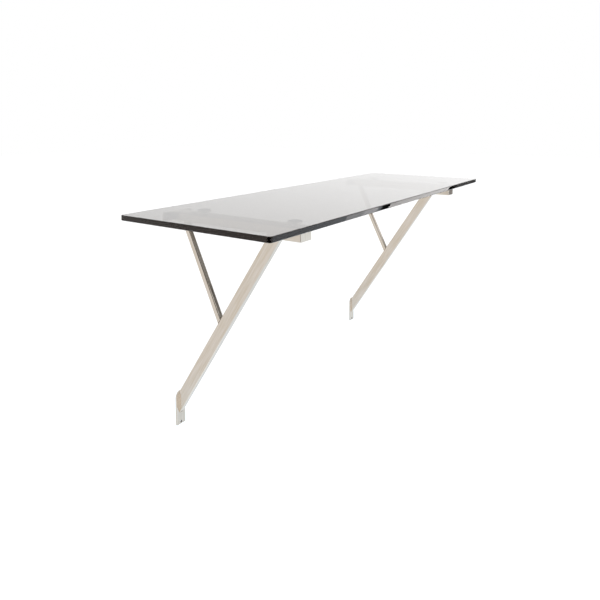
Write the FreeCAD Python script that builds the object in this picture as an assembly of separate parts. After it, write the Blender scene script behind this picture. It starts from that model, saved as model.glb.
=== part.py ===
import FreeCAD, Part
import math
import os

# Wall-mounted desk: a smoked-glass top on two Y-shaped brackets of welded, plated steel tube.
# Millimetres. +Y points at the wall, whose face is Y = 0, and +Z is up. X = 0 is the middle of the
# desk's length, and Z = 0 is the line of the upper wall screws, level with the middle of the rails.

# Glass top
top_length = 1500.0
top_depth = 510.0
top_thickness = 15.0
top_corner_radius = 10.0
top_arris = 2.0
top_wall_gap = 2.0

# Brackets, measured from the glass's ends to their middle planes
bracket_setback = 207.0

# Rail: rectangular tube, square to the wall, closed by a cap that stands back from the glass's front
rail_width = 50.0
rail_height = 25.0
rail_wall = 2.0
rail_bend_radius = 1.0
rail_setback = 44.0
cap_thickness = 2.5
cap_edge_chamfer = 0.8

# Upper wall plate: flat bar welded to the rail's rear end, with an ear and a screw hole on both sides
wall_plate_width = 110.0
wall_plate_thickness = 6.0
wall_plate_corner_radius = 4.0
wall_hole_spacing = 80.0
wall_hole_diameter = 7.0

# Strut: rectangular tube, narrow sides up and down. Its upper face meets the rail's underside at
# strut_reach from the wall, and would meet the wall at strut_drop below that underside.
strut_width = 15.0
strut_depth = 37.0
strut_wall = 1.5
strut_bend_radius = 0.3
strut_reach = 350.0
strut_drop = 531.0

# Brace: slim square tube. Its rear face meets the rail's underside at brace_reach from the wall.
brace_size = 16.0
brace_wall = 1.5
brace_bend_radius = 1.5
brace_reach = 33.4
brace_angle = 63.8

# Foot plate: flat bar with an oval head that rises past the strut's end and a tongue below it
foot_width = 34.0
foot_thickness = 5.0
foot_head = 2.5
foot_head_length = 23.0
foot_tongue = 35.5
foot_corner_radius = 1.0
foot_hole_height = 7.0
foot_hole_diameter = 7.0

# Glass supports: a disc on a shouldered post, a soft pad on the disc, an insert in the rail.
# The rear one is placed from the wall, and the front one from the rail's front end.
support_rear = 115.0
support_setback = 34.0
disc_diameter = 40.0
disc_thickness = 4.0
disc_rim_chamfer = 1.0
post_diameter = 14.0
post_height = 5.5
shank_diameter = 8.0
shank_length = 12.0
pad_diameter = 36.0
pad_thickness = 2.0
insert_across_flats = 11.0
insert_length = 13.0
collar_diameter = 18.0
collar_thickness = 1.0
thread_clearance = 0.1
insert_clearance = 0.05

# How far a bracket is from the desk's middle, and its rail's front end and front support from the wall
bracket_middle = top_length / 2 - bracket_setback
rail_front = top_wall_gap + top_depth - rail_setback
support_front = rail_front - support_setback

# Levels of the pieces that are stacked on a rail
rail_top = rail_height / 2
rail_bottom = -rail_height / 2
collar_top = rail_top + collar_thickness
disc_bottom = collar_top + post_height
disc_top = disc_bottom + disc_thickness
glass_bottom = disc_top + pad_thickness

# The strut's slope from level, and where it meets the wall and the foot plate's front
strut_slope = math.atan2(strut_drop, strut_reach)
foot_rise = foot_thickness * math.tan(strut_slope)
strut_upper_end = rail_bottom - strut_drop + foot_rise
strut_lower_end = strut_upper_end - strut_depth / math.cos(strut_slope)
foot_bottom = strut_lower_end - foot_tongue

# Longer than any piece, for cutting a tube's ends along a plane
beyond = top_length + top_depth

X_AXIS = FreeCAD.Vector(1, 0, 0)
Z_AXIS = FreeCAD.Vector(0, 0, 1)
ORIGIN = FreeCAD.Vector(0, 0, 0)


def rounded_plate(width, height, radius, thickness):
    """Plate in XY, centred on Z and rising along it, with rounded corners."""
    arcs = []
    for quarter, (side, end) in enumerate(((1, 1), (-1, 1), (-1, -1), (1, -1))):
        centre = FreeCAD.Vector(side * (width / 2 - radius), end * (height / 2 - radius), 0)
        arcs.append(Part.makeCircle(radius, centre, Z_AXIS, 90 * quarter, 90 * (quarter + 1)))
    edges = []
    for arc, following in zip(arcs, arcs[1:] + arcs[:1]):
        edges.append(arc)
        edges.append(Part.makeLine(arc.Vertexes[-1].Point, following.Vertexes[0].Point))
    return Part.Face(Part.Wire(edges)).extrude(Z_AXIS * thickness)


def tube(width, height, wall, bend_radius, length):
    """Rectangular tube along Z. bend_radius is the radius inside its corners."""
    outer = rounded_plate(width, height, bend_radius + wall, length)
    inner = rounded_plate(width - 2 * wall, height - 2 * wall, bend_radius, length)
    return outer.cut(inner)


def edges_at(shape, level):
    """Edges that lie wholly in the plane Z = level."""
    return [edge for edge in shape.Edges
            if all(abs(corner.Z - level) < 1e-6 for corner in edge.Vertexes)]


def turned(profile):
    """Solid of revolution about Z, from radius and height pairs."""
    corners = [FreeCAD.Vector(radius, 0, height) for radius, height in profile]
    face = Part.Face(Part.makePolygon(corners + corners[:1]))
    return face.revolve(ORIGIN, Z_AXIS, 360)


def hexagonal_bar(across_flats, bottom, top):
    """Hexagonal prism about Z, from one height to another."""
    across_corners = across_flats / math.cos(math.pi / 6)
    corner = FreeCAD.Vector(across_corners / 2, 0, bottom)
    corners = [FreeCAD.Rotation(Z_AXIS, 60 * step).multVec(corner) for step in range(6)]
    return Part.Face(Part.makePolygon(corners + corners[:1])).extrude(Z_AXIS * (top - bottom))


def half_space(x, y, z):
    """Block that starts at a corner on the plane to be cut along and runs past every piece."""
    return Part.makeBox(2 * beyond, 2 * beyond, 2 * beyond, FreeCAD.Vector(x, y, z))


def under_rail():
    """Everything below the rail's underside."""
    return half_space(-beyond, -beyond, rail_bottom - 2 * beyond)


def before_foot_plate():
    """Everything in front of the foot plate's front face."""
    return half_space(-beyond, -foot_thickness - 2 * beyond, -beyond)


def slanting_frame(lean, depth, reach):
    """Placement of a slanting tube, with its long axis along its own Z.

    lean is the turn about X, in radians, that tips an upright tube forward. The face at +Y in the
    tube's own frame, half its depth from the axis, meets the rail's underside at reach from the wall.
    """
    turn = FreeCAD.Rotation(X_AXIS, math.degrees(lean))
    meeting = FreeCAD.Vector(0, -reach, rail_bottom)
    return FreeCAD.Placement(meeting - turn.multVec(FreeCAD.Vector(0, depth / 2, 0)), turn)


def strut_frame():
    """The strut leans forward as it rises, and its upper face is at +Y in its own frame."""
    return slanting_frame(math.pi / 2 - strut_slope, strut_depth, strut_reach)


def brace_frame():
    """The brace leans back as it rises, and its rear face is at +Y in its own frame."""
    return slanting_frame(math.radians(brace_angle - 90), brace_size, brace_reach)


def placed(shape, frame):
    """The shape moved from a tube's own frame to the desk's."""
    shape.Placement = frame.multiply(shape.Placement)
    return shape


def slanting_tube(frame, width, depth, wall, bend_radius):
    """Tube of ample length, to be cut to its seats."""
    blank = tube(width, depth, wall, bend_radius, 2 * beyond)
    blank.translate(FreeCAD.Vector(0, 0, -beyond))
    return placed(blank, frame)


def make_glass_top():
    """Glass plate with rounded corners and a fine arris along both polished edges."""
    plate = rounded_plate(top_length, top_depth, top_corner_radius, top_thickness)
    plate = plate.makeChamfer(top_arris, edges_at(plate, 0) + edges_at(plate, top_thickness))
    plate.translate(FreeCAD.Vector(0, -top_wall_gap - top_depth / 2, glass_bottom))
    return plate


def make_rail():
    """Tube from the wall plate to the cap, with a hole in its upper wall for each insert."""
    length = rail_front - cap_thickness - wall_plate_thickness
    rail = tube(rail_width, rail_height, rail_wall, rail_bend_radius, length)
    rail.rotate(ORIGIN, X_AXIS, 90)
    rail.translate(FreeCAD.Vector(0, -wall_plate_thickness, 0))
    for depth in (support_rear, support_front):
        hole = hexagonal_bar(insert_across_flats + 2 * insert_clearance, 0, rail_height)
        hole.translate(FreeCAD.Vector(0, -depth, 0))
        rail = rail.cut(hole)
    return rail


def make_rail_end_cap():
    """Plate of the rail's own outline, welded on, with its front edge eased."""
    cap = rounded_plate(rail_width, rail_height, rail_bend_radius + rail_wall, cap_thickness)
    cap = cap.makeChamfer(cap_edge_chamfer, edges_at(cap, cap_thickness))
    cap.rotate(ORIGIN, X_AXIS, 90)
    cap.translate(FreeCAD.Vector(0, cap_thickness - rail_front, 0))
    return cap


def make_wall_plate():
    """Plate against the wall, as high as the rail, with a screw hole on both sides of it."""
    plate = rounded_plate(wall_plate_width, rail_height, wall_plate_corner_radius, wall_plate_thickness)
    for side in (-1, 1):
        centre = FreeCAD.Vector(side * wall_hole_spacing / 2, 0, 0)
        plate = plate.cut(Part.makeCylinder(wall_hole_diameter / 2, wall_plate_thickness, centre))
    plate.rotate(ORIGIN, X_AXIS, 90)
    return plate


def make_strut():
    """Tube cut level under the rail and upright against the foot plate."""
    strut = slanting_tube(strut_frame(), strut_width, strut_depth, strut_wall, strut_bend_radius)
    return strut.common(under_rail()).common(before_foot_plate())


def make_brace():
    """Slim tube cut level under the rail and along the strut's upper face."""
    brace = slanting_tube(brace_frame(), brace_size, brace_size, brace_wall, brace_bend_radius)
    above_strut = placed(half_space(-beyond, strut_depth / 2, -beyond), strut_frame())
    return brace.common(under_rail()).common(above_strut)


def make_foot_plate():
    """Flat bar behind the strut's cut end, oval above and square below, drilled for a wall screw."""
    half_width = foot_width / 2
    straight = strut_upper_end + foot_head - foot_head_length - foot_bottom
    plate = Part.makeBox(foot_width, straight, foot_thickness, FreeCAD.Vector(-half_width, 0, 0))
    lower_corners = [edge for edge in plate.Edges
                     if all(abs(corner.Y) < 1e-6 for corner in edge.Vertexes)
                     and edge.BoundBox.ZLength > foot_thickness / 2]
    plate = plate.makeFillet(foot_corner_radius, lower_corners)
    oval = Part.Ellipse(ORIGIN, max(half_width, foot_head_length), min(half_width, foot_head_length))
    head = Part.Face(Part.Wire(oval.toShape())).extrude(Z_AXIS * foot_thickness)
    if foot_head_length > half_width:
        head.rotate(ORIGIN, Z_AXIS, 90)
    head.translate(FreeCAD.Vector(0, straight, 0))
    plate = plate.fuse(head).removeSplitter()
    hole_centre = FreeCAD.Vector(0, foot_hole_height, 0)
    plate = plate.cut(Part.makeCylinder(foot_hole_diameter / 2, foot_thickness, hole_centre))
    plate.rotate(ORIGIN, X_AXIS, 90)
    plate.translate(FreeCAD.Vector(0, 0, foot_bottom))
    return plate


def make_support(depth):
    """Turned in one piece: threaded shank, shouldered post and a disc with an eased rim."""
    shank = shank_diameter / 2 - thread_clearance
    post = post_diameter / 2
    disc = disc_diameter / 2
    support = turned([
        (0, collar_top - shank_length), (shank, collar_top - shank_length), (shank, collar_top),
        (post, collar_top), (post, disc_bottom), (disc, disc_bottom),
        (disc, disc_top - disc_rim_chamfer), (disc - disc_rim_chamfer, disc_top), (0, disc_top)])
    support.translate(FreeCAD.Vector(0, -depth, 0))
    return support


def make_pad(depth):
    """Soft disc between the support and the glass."""
    return Part.makeCylinder(pad_diameter / 2, pad_thickness, FreeCAD.Vector(0, -depth, disc_top))


def make_insert(depth):
    """Rivet nut through the rail's upper wall: hexagonal, so that it can't turn, under a collar."""
    insert_bottom = collar_top - insert_length
    body = hexagonal_bar(insert_across_flats, insert_bottom, rail_top)
    collar = Part.makeCylinder(collar_diameter / 2, collar_thickness, FreeCAD.Vector(0, 0, rail_top))
    bore = Part.makeCylinder(shank_diameter / 2, insert_length, FreeCAD.Vector(0, 0, insert_bottom))
    insert = body.fuse(collar).cut(bore)
    insert.translate(FreeCAD.Vector(0, -depth, 0))
    return insert


def save(node, shape, x):
    """Write a piece, moved along the desk to its bracket, as its own file."""
    shape.translate(FreeCAD.Vector(x, 0, 0))
    shape.exportStep(os.path.join("parts", node + ".step"))


os.makedirs("parts", exist_ok=True)
save("glass_top", make_glass_top(), 0)
for side, x in (("left", -bracket_middle), ("right", bracket_middle)):
    save(side + "_rail", make_rail(), x)
    save(side + "_rail_end_cap", make_rail_end_cap(), x)
    save(side + "_wall_plate", make_wall_plate(), x)
    save(side + "_strut", make_strut(), x)
    save(side + "_brace", make_brace(), x)
    save(side + "_foot_plate", make_foot_plate(), x)
    for place, depth in (("rear", support_rear), ("front", support_front)):
        save(side + "_" + place + "_support", make_support(depth), x)
        save(side + "_" + place + "_pad", make_pad(depth), x)
        save(side + "_" + place + "_insert", make_insert(depth), x)
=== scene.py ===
import math

import bmesh
import bpy
from mathutils import Matrix, Vector


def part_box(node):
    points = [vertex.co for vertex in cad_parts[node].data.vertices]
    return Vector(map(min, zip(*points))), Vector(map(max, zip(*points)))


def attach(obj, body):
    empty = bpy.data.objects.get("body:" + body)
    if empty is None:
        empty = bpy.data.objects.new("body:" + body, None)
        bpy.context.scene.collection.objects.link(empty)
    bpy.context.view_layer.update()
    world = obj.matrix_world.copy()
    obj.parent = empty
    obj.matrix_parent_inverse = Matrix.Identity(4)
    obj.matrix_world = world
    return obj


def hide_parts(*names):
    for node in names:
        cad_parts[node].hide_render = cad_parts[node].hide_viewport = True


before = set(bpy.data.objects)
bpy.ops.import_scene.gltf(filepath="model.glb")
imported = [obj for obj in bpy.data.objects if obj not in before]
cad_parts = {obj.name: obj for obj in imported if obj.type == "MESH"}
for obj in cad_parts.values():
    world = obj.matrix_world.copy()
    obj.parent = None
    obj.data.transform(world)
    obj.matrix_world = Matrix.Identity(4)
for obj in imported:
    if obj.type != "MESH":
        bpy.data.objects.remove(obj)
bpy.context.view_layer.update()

# Rails: the two brackets' level tubes of drawn steel, welded to the wall plates and closed by welded
# caps. They are polished along their length, then nickel plated.
MM = 0.001


def linear(hex_colour):
    """Linear RGBA of an sRGB hex colour."""
    channels = [int(hex_colour[start:start + 2], 16) / 255 for start in (1, 3, 5)]
    return [c / 12.92 if c <= 0.04045 else ((c + 0.055) / 1.055) ** 2.4 for c in channels] + [1.0]


def add_node(tree, kind, settings=(), inputs=(), links=()):
    """A node with its settings, its unlinked inputs, and links from other nodes' outputs."""
    node = tree.nodes.new(kind)
    for name, value in dict(settings).items():
        setattr(node, name, value)
    for socket, value in dict(inputs).items():
        node.inputs[socket].default_value = value
    for socket, output in dict(links).items():
        tree.links.new(output, node.inputs[socket])
    return node


def new_material(name):
    """An empty material, its node tree and its output node."""
    material = bpy.data.materials.new(name)
    material.use_nodes = True
    material.node_tree.nodes.clear()
    return material, material.node_tree, add_node(material.node_tree, "ShaderNodeOutputMaterial")


def polished_nickel(name, lean):
    """Nickel plate over polished steel: warm, nearly mirror bright, with faint lengthwise lines.

    lean is the turn about X, in radians, from upright to the tube's own length. The lines of the
    polish are drawn coarser than they are, because real ones are too fine to show.
    """
    line_width = 4 * MM
    line_length = 90 * MM
    cloud_size = 45 * MM
    material, tree, output = new_material(name)
    coords = add_node(tree, "ShaderNodeTexCoord")
    along = add_node(tree, "ShaderNodeMapping", inputs={"Rotation": (-lean, 0, 0)},
                     links={"Vector": coords.outputs["Object"]})
    stretched = add_node(tree, "ShaderNodeMapping", inputs={
        "Scale": (1 / line_width, 1 / line_width, 1 / line_length)},
        links={"Vector": along.outputs["Vector"]})
    lines = add_node(tree, "ShaderNodeTexNoise", inputs={"Scale": 1.0, "Detail": 3.0},
                     links={"Vector": stretched.outputs["Vector"]})
    clouds = add_node(tree, "ShaderNodeTexNoise", inputs={"Scale": 1 / cloud_size, "Detail": 2.0},
                      links={"Vector": coords.outputs["Object"]})
    streaks = add_node(tree, "ShaderNodeMapRange", inputs={
        "From Min": 0.35, "From Max": 0.65, "To Min": 0.0, "To Max": 1.0},
        links={"Value": lines.outputs["Fac"]})
    warm = add_node(tree, "ShaderNodeMix", {"data_type": "RGBA"},
                    {"A": linear("#BCAD98"), "B": linear("#C6BFB6")},
                    {"Factor": clouds.outputs["Fac"]})
    tint = add_node(tree, "ShaderNodeMix", {"data_type": "RGBA"}, {"B": linear("#CBC2B8")},
                    {"A": warm.outputs["Result"], "Factor": streaks.outputs["Result"]})
    gloss = add_node(tree, "ShaderNodeMapRange", inputs={
        "From Min": 0.3, "From Max": 0.7, "To Min": 0.08, "To Max": 0.14},
        links={"Value": clouds.outputs["Fac"]})
    relief = add_node(tree, "ShaderNodeBump", inputs={"Strength": 0.15, "Distance": 0.02 * MM},
                      links={"Height": lines.outputs["Fac"]})
    shader = add_node(tree, "ShaderNodeBsdfPrincipled", inputs={"Metallic": 1.0}, links={
        "Base Color": tint.outputs["Result"], "Roughness": gloss.outputs["Result"],
        "Normal": relief.outputs["Normal"]})
    tree.links.new(shader.outputs["BSDF"], output.inputs["Surface"])
    return material


def dress(node, material):
    """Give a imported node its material."""
    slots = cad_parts[node].data.materials
    slots.clear()
    slots.append(material)


rail_nickel = polished_nickel("nickel_plate_rail", math.radians(90))
for side in ("left", "right"):
    dress(side + "_rail", rail_nickel)

# Struts and braces: drawn steel tubes, mitred, welded to the rail, the foot plate and each other, the
# welds ground flush, then polished along their length and plated with the rail.
strut_reach = 350 * MM
strut_drop = 531 * MM
brace_rise = math.radians(63.8)
strut_nickel = polished_nickel("nickel_plate_strut", math.atan2(strut_reach, strut_drop))
brace_nickel = polished_nickel("nickel_plate_brace", brace_rise - math.radians(90))
for side in ("left", "right"):
    dress(side + "_strut", strut_nickel)
    dress(side + "_brace", brace_nickel)

# Wall plates, foot plates and rail caps: flat steel bar cut to length, the foot's upper end oval, drilled
# for wall screws, edges eased, then polished and plated with the tubes. The walls of the drilled holes are
# painted dark: painted shade, standing in for the shade inside the holes.
upright_nickel = polished_nickel("nickel_plate_upright", 0)


def mottled(name, dark, light, mottle_size, detail, metallic, roughness, relief=0):
    """Material whose colour wanders between two tones, with a grain where relief gives it a depth."""
    material, tree, output = new_material(name)
    coords = add_node(tree, "ShaderNodeTexCoord")
    mottle = add_node(tree, "ShaderNodeTexNoise", inputs={"Scale": 1 / mottle_size, "Detail": detail},
                      links={"Vector": coords.outputs["Object"]})
    tone = add_node(tree, "ShaderNodeMix", {"data_type": "RGBA"},
                    {"A": linear(dark), "B": linear(light)}, {"Factor": mottle.outputs["Fac"]})
    shader = add_node(tree, "ShaderNodeBsdfPrincipled", inputs={
        "Metallic": metallic, "Roughness": roughness}, links={"Base Color": tone.outputs["Result"]})
    if relief:
        grain = add_node(tree, "ShaderNodeBump", inputs={"Strength": 0.3, "Distance": relief},
                         links={"Height": mottle.outputs["Fac"]})
        tree.links.new(grain.outputs["Normal"], shader.inputs["Normal"])
    tree.links.new(shader.outputs["BSDF"], output.inputs["Surface"])
    return material


# Painted shade for the walls of the drilled holes: dark grey-brown and rough, mottled, standing in for the
# shade inside the holes.
hole_wall_shade = mottled("painted_hole_wall_shade", "#2A2622", "#4A443D", mottle_size=0.6 * MM, detail=2.0,
                     metallic=0.6, roughness=0.55)

merge_distance = 0.01 * MM
level_tolerance = 0.001 * MM


def place_piece(name, bm, material, node):
    """Make a bmesh a piece of the desk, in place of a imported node."""
    bmesh.ops.recalc_face_normals(bm, faces=bm.faces)
    mesh = bpy.data.meshes.new(name)
    bm.to_mesh(mesh)
    bm.free()
    mesh.shade_smooth()
    mesh.materials.append(material)
    piece = bpy.data.objects.new(name, mesh)
    bpy.context.scene.collection.objects.link(piece)
    piece.modifiers.new("flat_faces", "WEIGHTED_NORMAL")
    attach(piece, "root")
    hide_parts(node)
    return piece


def cut_plate(name, node, corner, front_ease, back_ease, oval=0, hole_radius=0, holes=()):
    """Upright plate in place of a node, with rounded corners, eased edges and drilled holes.

    oval is the height of an upper end that is half an oval, as wide as the plate. Holes are given as
    (x, z) from the plate's middle.
    """
    low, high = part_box(node)
    size = high - low
    head = oval or corner
    upper_corner = size.x / 2 if oval else corner
    shoulder = size.z / 2 - head

    # The outline is drawn lying down, with the plate's height along y. An oval starts as a half circle
    # that is stretched to its height.
    bm = bmesh.new()
    corners = bmesh.ops.create_grid(bm, x_segments=1, y_segments=1, size=0.5)["verts"]
    bmesh.ops.scale(bm, vec=(size.x, size.z, 1), verts=corners)
    upper = [v for v in corners if v.co.y > 0]
    lower = [v for v in corners if v.co.y < 0]
    bmesh.ops.translate(bm, vec=(0, upper_corner - head, 0), verts=upper)
    for ends, radius in ((upper, upper_corner), (lower, corner)):
        bmesh.ops.bevel(bm, geom=ends, offset=radius, offset_type="OFFSET", segments=16, profile=0.5,
                        affect="VERTICES", material=-1)
    bmesh.ops.scale(bm, vec=(1, head / upper_corner, 1), space=Matrix.Translation((0, -shoulder, 0)),
                    verts=[v for v in bm.verts if v.co.y > shoulder - merge_distance])
    bmesh.ops.remove_doubles(bm, verts=bm.verts, dist=merge_distance)

    # The outline and the holes are filled and raised by the plate's thickness.
    bmesh.ops.delete(bm, geom=bm.faces[:], context="FACES_ONLY")
    for x, z in holes:
        bmesh.ops.create_circle(bm, segments=40, radius=hole_radius, matrix=Matrix.Translation((x, z, 0)))
    bmesh.ops.triangle_fill(bm, use_beauty=True, edges=bm.edges[:])
    raised = bmesh.ops.extrude_face_region(bm, geom=bm.faces[:])["geom"]
    bmesh.ops.translate(bm, vec=(0, 0, size.y),
                        verts=[v for v in raised if isinstance(v, bmesh.types.BMVert)])
    bmesh.ops.recalc_face_normals(bm, faces=bm.faces)
    sharp = math.radians(60)
    for level, ease in ((0, back_ease), (size.y, front_ease)):
        rims = [e for e in bm.edges if all(abs(v.co.z - level) < level_tolerance for v in e.verts)
                and e.calc_face_angle(0) > sharp]
        bmesh.ops.bevel(bm, geom=rims, offset=ease, offset_type="OFFSET", segments=4, profile=0.5,
                        affect="EDGES", material=-1)
    hole_wall = hole_radius + 0.05 * MM
    # The faces of the holes' walls get the second material, a painted shade.
    for x, z in holes:
        for face in bm.faces:
            from_axis = face.calc_center_median() - Vector((x, z, 0))
            if from_axis.xy.length < hole_wall:
                face.material_index = 1

    # The plate is stood up with its back against the wall's side of the node.
    bmesh.ops.rotate(bm, cent=(0, 0, 0), matrix=Matrix.Rotation(math.radians(90), 3, "X"), verts=bm.verts)
    bmesh.ops.translate(bm, vec=((low.x + high.x) / 2, high.y, (low.z + high.z) / 2), verts=bm.verts)
    piece = place_piece(name, bm, upright_nickel, node)
    # The second material is the painted shade of the hole walls.
    if holes:
        piece.data.materials.append(hole_wall_shade)


screw_hole_radius = 3.5 * MM
wall_hole_spacing = 80 * MM
foot_head_length = 23 * MM
foot_hole_height = 7 * MM
for side in ("left", "right"):
    cut_plate(side + "_drilled_wall_plate", side + "_wall_plate", corner=4 * MM,
              front_ease=0.6 * MM, back_ease=0.3 * MM, hole_radius=screw_hole_radius,
              holes=[(-wall_hole_spacing / 2, 0), (wall_hole_spacing / 2, 0)])
    cut_plate(side + "_welded_rail_cap", side + "_rail_end_cap", corner=3 * MM,
              front_ease=1.5 * MM, back_ease=0.1 * MM)
    foot_low, foot_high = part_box(side + "_foot_plate")
    foot_hole = (0, foot_hole_height - (foot_high.z - foot_low.z) / 2)
    cut_plate(side + "_drilled_foot_plate", side + "_foot_plate", corner=1 * MM,
              front_ease=0.5 * MM, back_ease=0.3 * MM, oval=foot_head_length,
              hole_radius=screw_hole_radius, holes=[foot_hole])

# Inserts: hexagonal rivet nuts of zinc-plated steel, set in the rails' upper walls under a thin collar.
# The supports screw into them. The bright zinc is a satin, bluish silver with a faint yellow cast in
# places.
zinc = mottled("bright_zinc_plate", "#B9BEC4", "#CCCBC2", mottle_size=3 * MM, detail=3.0,
               metallic=1.0, roughness=0.3)
for side in ("left", "right"):
    for place in ("rear", "front"):
        dress(side + "_" + place + "_insert", zinc)

# Supports: turned in one piece of steel, a threaded shank, a shouldered post and a disc under the
# glass, with rounded rims, polished and nickel plated.
shank_radius = 3.9 * MM
post_radius = 7 * MM
disc_radius = 20 * MM
disc_thickness = 4 * MM
support_ease = 0.6 * MM


def turned(profile, ease, middle):
    """Solid of revolution about an upright axis, from radius and height pairs, with rounded rims."""
    bm = bmesh.new()
    points = [bm.verts.new((radius, 0, height)) for radius, height in profile]
    outline = [bm.edges.new(pair) for pair in zip(points, points[1:])]
    bmesh.ops.spin(bm, geom=points + outline, cent=(0, 0, 0), axis=(0, 0, 1), dvec=(0, 0, 0),
                   angle=math.radians(360), steps=72, use_merge=True, use_duplicate=False)
    bmesh.ops.remove_doubles(bm, verts=bm.verts, dist=merge_distance)
    bmesh.ops.recalc_face_normals(bm, faces=bm.faces)
    sharp = math.radians(30)
    rims = [e for e in bm.edges if e.calc_face_angle(0) > sharp]
    bmesh.ops.bevel(bm, geom=rims, offset=ease, offset_type="OFFSET", segments=3, profile=0.5,
                    affect="EDGES", material=-1)
    bmesh.ops.translate(bm, vec=middle, verts=bm.verts)
    return bm


for side in ("left", "right"):
    for place in ("rear", "front"):
        node = side + "_" + place + "_support"
        low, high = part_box(node)
        collar_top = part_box(side + "_" + place + "_insert")[1].z
        disc_bottom = high.z - disc_thickness
        profile = [(0, low.z), (shank_radius, low.z), (shank_radius, collar_top),
                   (post_radius, collar_top), (post_radius, disc_bottom),
                   (disc_radius, disc_bottom), (disc_radius, high.z), (0, high.z)]
        middle = Vector(((low.x + high.x) / 2, (low.y + high.y) / 2, 0))
        place_piece(side + "_" + place + "_turned_support", turned(profile, support_ease, middle),
                    upright_nickel, node)

# Pads: die-cut discs of neoprene, slightly rounded at the rim, glued to the supports so that the glass
# rests on rubber. Neoprene is nearly black and dull, with a fine grain.
pad_ease = 0.4 * MM
neoprene = mottled("neoprene", "#1B1B1C", "#2B2A2A", mottle_size=0.5 * MM, detail=2.0,
                   metallic=0.0, roughness=0.7, relief=0.05 * MM)
for side in ("left", "right"):
    for place in ("rear", "front"):
        node = side + "_" + place + "_pad"
        low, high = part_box(node)
        pad_radius = (high.x - low.x) / 2
        profile = [(0, low.z), (pad_radius, low.z), (pad_radius, high.z), (0, high.z)]
        middle = Vector(((low.x + high.x) / 2, (low.y + high.y) / 2, 0))
        place_piece(side + "_" + place + "_neoprene_pad", turned(profile, pad_ease, middle),
                    neoprene, node)

# Glass top: one plate of grey smoked float glass with polished edges, rounded corners and a fine
# arris, laid loose on the four padded supports.
glass_low, glass_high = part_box("glass_top")
glass_size = glass_high - glass_low
glass_corner = 10 * MM
glass_arris = 2 * MM

# Smoked float glass: clear and mirror smooth, dark in its body, with barely visible smears. Its smoke
# lets about a third of the light through the plate's thickness.
smear_size = 90 * MM
smoke_per_metre = 75.0
smoked_glass, tree, output = new_material("smoked_glass")
coords = add_node(tree, "ShaderNodeTexCoord")
smears = add_node(tree, "ShaderNodeTexNoise", inputs={"Scale": 1 / smear_size, "Detail": 4.0},
                  links={"Vector": coords.outputs["Object"]})
gloss = add_node(tree, "ShaderNodeMapRange", inputs={
    "From Min": 0.35, "From Max": 0.75, "To Min": 0.0, "To Max": 0.03},
    links={"Value": smears.outputs["Fac"]})
shader = add_node(tree, "ShaderNodeBsdfPrincipled", inputs={
    "Base Color": linear("#FFFFFF"), "IOR": 1.46, "Specular Tint": linear("#F1DFD7"),
    "Transmission Weight": 1.0}, links={"Roughness": gloss.outputs["Result"]})
smoke = add_node(tree, "ShaderNodeVolumeAbsorption", inputs={
    "Color": linear("#453000"), "Density": smoke_per_metre})
tree.links.new(shader.outputs["BSDF"], output.inputs["Surface"])
tree.links.new(smoke.outputs["Volume"], output.inputs["Volume"])

bm = bmesh.new()
bmesh.ops.create_cube(bm, size=1.0)
bmesh.ops.scale(bm, vec=glass_size, verts=bm.verts)
bmesh.ops.translate(bm, vec=(glass_low + glass_high) / 2, verts=bm.verts)
uprights = [e for e in bm.edges if abs(e.verts[0].co.z - e.verts[1].co.z) > glass_size.z / 2]
bmesh.ops.bevel(bm, geom=uprights, offset=glass_corner, offset_type="OFFSET", segments=14, profile=0.5,
                affect="EDGES", material=-1)
rims = [e for e in bm.edges if abs(e.verts[0].co.z - e.verts[1].co.z) < level_tolerance]
bmesh.ops.bevel(bm, geom=rims, offset=glass_arris, offset_type="OFFSET", segments=4, profile=0.5,
                affect="EDGES", material=-1)
place_piece("smoked_glass_top", bm, smoked_glass, "glass_top")

# Studio: a white floor and a white surround, as the camera and the reflections see them, and a lit
# panel, softboxes and dark cards, which the camera doesn't see.
floor_level = -0.70
floor_side = 30.0


def sheet(name, placing, width, height, material):
    """Flat piece of the studio, with its width along X and its height along Y before it is placed."""
    bm = bmesh.new()
    bmesh.ops.create_grid(bm, x_segments=1, y_segments=1, size=0.5)
    bmesh.ops.scale(bm, vec=(width, height, 1), verts=bm.verts)
    bmesh.ops.transform(bm, matrix=placing, verts=bm.verts)
    mesh = bpy.data.meshes.new(name)
    bm.to_mesh(mesh)
    bm.free()
    mesh.materials.append(material)
    piece = bpy.data.objects.new(name, mesh)
    bpy.context.scene.collection.objects.link(piece)
    return piece


# White floor: white to the camera. Reflections show it cool in front of the wall and neutral behind it.
white_floor, tree, output = new_material("white_floor")
path = add_node(tree, "ShaderNodeLightPath")
mirrored = add_node(tree, "ShaderNodeMath", {"operation": "ADD"}, links={
    0: path.outputs["Is Camera Ray"], 1: path.outputs["Is Glossy Ray"]})
seen = add_node(tree, "ShaderNodeMath", {"operation": "ADD", "use_clamp": True}, links={
    0: mirrored.outputs[0], 1: path.outputs["Is Transmission Ray"]})
coords = add_node(tree, "ShaderNodeTexCoord")
apart = add_node(tree, "ShaderNodeSeparateXYZ", links={"Vector": coords.outputs["Object"]})
behind = add_node(tree, "ShaderNodeMapRange", {"interpolation_type": "SMOOTHSTEP"}, {
    "From Min": -0.1, "From Max": 0.4, "To Min": 0.0, "To Max": 1.0}, {"Value": apart.outputs["Y"]})
daylight = add_node(tree, "ShaderNodeMix", {"data_type": "RGBA"},
                    {"A": linear("#D1E1EF"), "B": linear("#C8C8C8")}, {"Factor": behind.outputs["Result"]})
emission = add_node(tree, "ShaderNodeEmission", links={
    "Color": daylight.outputs["Result"], "Strength": seen.outputs[0]})
paint = add_node(tree, "ShaderNodeBsdfDiffuse", inputs={"Color": linear("#BCBCBC")})
both = add_node(tree, "ShaderNodeAddShader", links={0: emission.outputs[0], 1: paint.outputs[0]})
tree.links.new(both.outputs[0], output.inputs["Surface"])
sheet("floor", Matrix.Translation((0, 0, floor_level)), floor_side, floor_side, white_floor)

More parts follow.
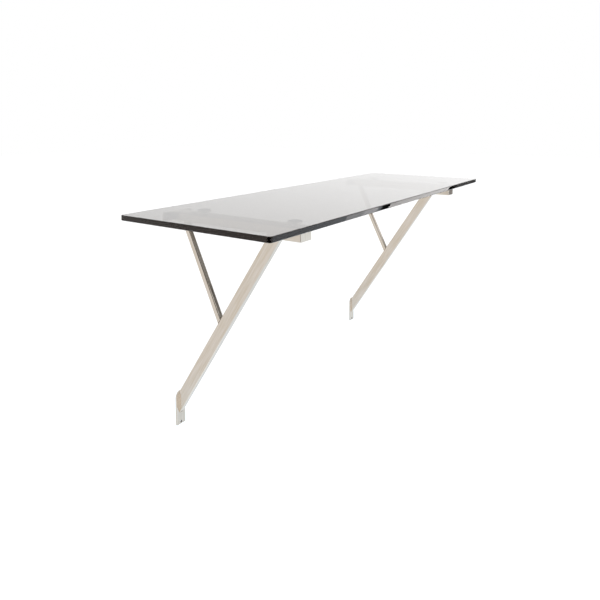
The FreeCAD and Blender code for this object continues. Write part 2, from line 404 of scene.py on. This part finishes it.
world = bpy.data.worlds.new("white_surround")
bpy.context.scene.world = world
world.use_nodes = True
tree = world.node_tree
tree.nodes.clear()
output = add_node(tree, "ShaderNodeOutputWorld")
surround = add_node(tree, "ShaderNodeBackground", inputs={"Color": linear("#FFFFFF"), "Strength": 1.0})
tree.links.new(surround.outputs[0], output.inputs["Surface"])


def aimed(centre, target):
    """Matrix that puts an object at a place and points its own -Z at a target."""
    turn = (Vector(target) - Vector(centre)).to_track_quat("-Z", "Y")
    return Matrix.Translation(centre) @ turn.to_matrix().to_4x4()


def softbox(name, centre, target, width, height, radiance, colour="#FFFFFF"):
    """Rectangular lamp that faces a point. radiance is what a mirror shows of it, 1 being white."""
    lamp = bpy.data.lights.new(name, "AREA")
    lamp.shape = "RECTANGLE"
    lamp.size = width
    lamp.size_y = height
    lamp.energy = radiance * math.pi * width * height
    lamp.color = linear(colour)[:3]
    piece = bpy.data.objects.new(name, lamp)
    piece.matrix_world = aimed(centre, target)
    piece.visible_camera = False
    bpy.context.scene.collection.objects.link(piece)


def dark_card(name, centre, target, width, height, tone):
    """Cloth-covered card that metal and glass reflect. tone is the share of light it sends back."""
    cloth, tree, output = new_material(name + "_cloth")
    weave = add_node(tree, "ShaderNodeBsdfDiffuse", inputs={"Color": (tone, tone, tone, 1)})
    tree.links.new(weave.outputs[0], output.inputs["Surface"])
    card = sheet(name, aimed(centre, target), width, height, cloth)
    for rays in ("camera", "diffuse", "transmission", "volume_scatter", "shadow"):
        setattr(card, "visible_" + rays, False)


# Back panel: lit cloth behind the desk, brighter towards its top and its right end.
panel_width = 6.5
panel_bottom = -0.1
panel_top = 1.6
panel_middle = (panel_bottom + panel_top) / 2
lit_cloth, tree, output = new_material("lit_cloth")
coords = add_node(tree, "ShaderNodeTexCoord")
apart = add_node(tree, "ShaderNodeSeparateXYZ", links={"Vector": coords.outputs["Object"]})
upward = add_node(tree, "ShaderNodeMapRange", inputs={
    "From Min": 0.0, "From Max": panel_top, "To Min": 1.235, "To Max": 1.795},
    links={"Value": apart.outputs["Z"]})
sideways = add_node(tree, "ShaderNodeMapRange", inputs={
    "From Min": -1.0, "From Max": 4.5, "To Min": 0.325, "To Max": -0.39},
    links={"Value": apart.outputs["Y"]})
level = add_node(tree, "ShaderNodeMath", {"operation": "ADD"}, links={
    0: upward.outputs["Result"], 1: sideways.outputs["Result"]})
emission = add_node(tree, "ShaderNodeEmission", links={"Strength": level.outputs[0]})
tree.links.new(emission.outputs[0], output.inputs["Surface"])
panel = sheet("back_panel", aimed((2.5, 1.75, panel_middle), (-0.3, -0.3, panel_middle)),
              panel_width, panel_top - panel_bottom, lit_cloth)
panel.visible_camera = False

# A strip lamp in a dark frame, far to the right. The polished front edge of the glass mirrors it as a
# light band with dark ends, and the card beside it as the edge's dark far end.
softbox("edge_strip", centre=(2.210, -1.367, -0.25), target=(0.006, -0.466, -0.25),
        width=0.434, height=0.8, radiance=3.3)
dark_card("strip_frame", centre=(2.239, -1.385, -0.35), target=(0.035, -0.484, -0.35),
          width=0.550, height=0.70, tone=0.04)
dark_card("right_card", centre=(2.362, -0.997, -0.25), target=(0.158, -0.096, -0.25),
          width=0.267, height=0.9, tone=0.34)

# Two dim lamps beside the strip, towards the front. They lighten the same edge before its light band.
softbox("edge_glow", centre=(2.030, -1.755, -0.40), target=(-0.2, -0.6, -0.40),
        width=0.235, height=0.6, radiance=1.2)
softbox("edge_core", centre=(2.062, -1.692, -0.40), target=(-0.2, -0.6, -0.40),
        width=0.110, height=0.6, radiance=0.8)

# A wide, cool lamp high at the front, which the front of the near brace mirrors through the glass.
softbox("front_key", centre=(1.25, -2.40, 0.85), target=(-0.4, -0.3, -0.1),
        width=1.7, height=0.9, radiance=0.75, colour="#E1F0FF")

# Small lamps on the floor, which open up the corner between each foot plate and its strut.
softbox("left_foot_fill", centre=(-0.69, -0.15, -0.695), target=(-0.69, -0.15, 0),
        width=0.24, height=0.24, radiance=0.60)
softbox("right_foot_fill", centre=(0.27, -0.15, -0.695), target=(0.27, -0.15, 0),
        width=0.30, height=0.24, radiance=0.60)

# A grey card that hangs under the front edge of the glass, where the front of the near brace mirrors it.
dark_card("brace_card", centre=(0.02, -0.505, -0.146), target=(0.02, 0.0, -0.146),
          width=0.55, height=0.34, tone=0.55)

# A large dark card beyond the left end of the desk, on the camera's side.
dark_card("camera_side", centre=(-2.9, -1.5, 0.6), target=(-0.6, -0.4, 0.6),
          width=3.4, height=2.6, tone=0.10)

# Camera: stands in front of the desk and beyond its left end, a little above the top. Its lens, shift,
# place and turn were fitted to the outlines in the photograph.
camera = bpy.data.cameras.new("camera")
camera.sensor_width = 36.0
camera.lens = 33.031
camera.shift_y = -0.23
viewer = bpy.data.objects.new("camera", camera)
viewer.location = (-1.6906, -1.2302, 0.2887)
yaw = math.radians(34.252)
pitch = math.radians(-4.124)
viewer.rotation_euler = (math.pi / 2 + pitch, 0, yaw - math.pi / 2)
bpy.context.scene.collection.objects.link(viewer)
bpy.context.scene.camera = viewer
bpy.context.scene.view_settings.view_transform = "Standard"
